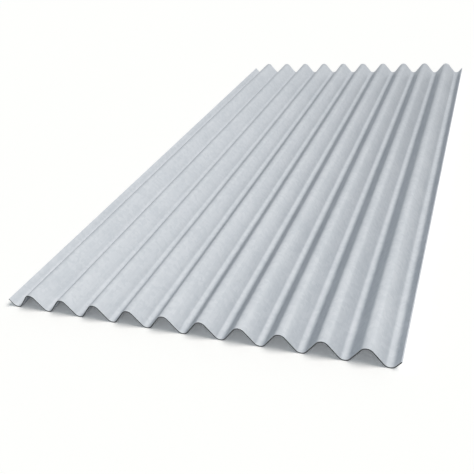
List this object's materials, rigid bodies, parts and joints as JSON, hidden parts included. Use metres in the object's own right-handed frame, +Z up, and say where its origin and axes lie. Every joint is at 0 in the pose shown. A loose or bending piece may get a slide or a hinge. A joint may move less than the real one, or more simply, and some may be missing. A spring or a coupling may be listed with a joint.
{
  "type": "corrugated metal sheet",
  "caption": "Sheet of galvanised steel rolled into even rounded waves along its length, with both long edges turned up, for roofing, cladding or fencing.",
  "frame": {"origin": "middle of the sheet, on the level that the undersides of its valleys rest on", "axes": "+X across the waves, +Y along them, +Z up out of the sheet"},
  "size_m": [0.802, 1.6, 0.035],
  "materials": {
    "galvanised_steel": "satin zinc coating"
  },
  "bodies": {
    "root": {"corrugated_sheet": "galvanised_steel"}
  },
  "joints": []
}
